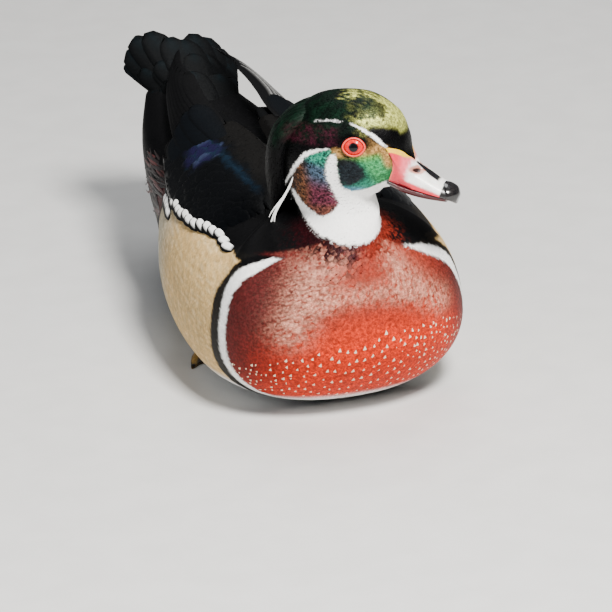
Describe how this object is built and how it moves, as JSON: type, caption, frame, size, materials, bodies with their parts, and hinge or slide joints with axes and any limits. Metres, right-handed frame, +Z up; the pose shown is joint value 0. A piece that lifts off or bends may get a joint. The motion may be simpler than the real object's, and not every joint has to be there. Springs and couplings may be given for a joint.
{
  "type": "wood duck",
  "caption": "Still life-size model of a male wood duck resting on its belly, head turned to its left, wings folded, tail raised, feet tucked under.",
  "frame": {"origin": "centre of the belly flat on the floor, below the middle of the body", "axes": "-Z out of the belly flat into the floor, +Z up, -Y the way the breast faces, +X the bird's left"},
  "size_m": [0.1456, 0.3465, 0.174],
  "materials": {
    "body_feathers": "satin feathers: chestnut breast with white flecks, buff flanks, white belly, black-brown back",
    "head_feathers": "iridescent green and purple feathers with white lines and a white throat",
    "wing_feathers": "glossy black feathers with blue and purple sheen and pale primary edges",
    "tail_feathers": "black feathers with a faint green sheen",
    "bill": "smooth horn, red at the base, white on the sides, yellow at the upper base",
    "nail": "smooth black horn",
    "eye": "wet gloss, red iris and black pupil",
    "leg_skin": "dull yellow scaled skin with dusky webs"
  },
  "bodies": {
    "root": {"trunk": "body_feathers", "breast": "body_feathers", "rump": "body_feathers", "neck": "body_feathers", "head": "head_feathers", "crest": "head_feathers", "bill_upper": "bill", "bill_lower": "bill", "bill_nail": "nail", "eye_left": "eye", "eye_right": "eye", "wing_left": "wing_feathers", "wing_right": "wing_feathers", "primaries_left": "wing_feathers", "primaries_right": "wing_feathers", "tail": "tail_feathers", "leg_left": "leg_skin", "leg_right": "leg_skin", "foot_left": "leg_skin", "foot_right": "leg_skin"}
  },
  "joints": []
}
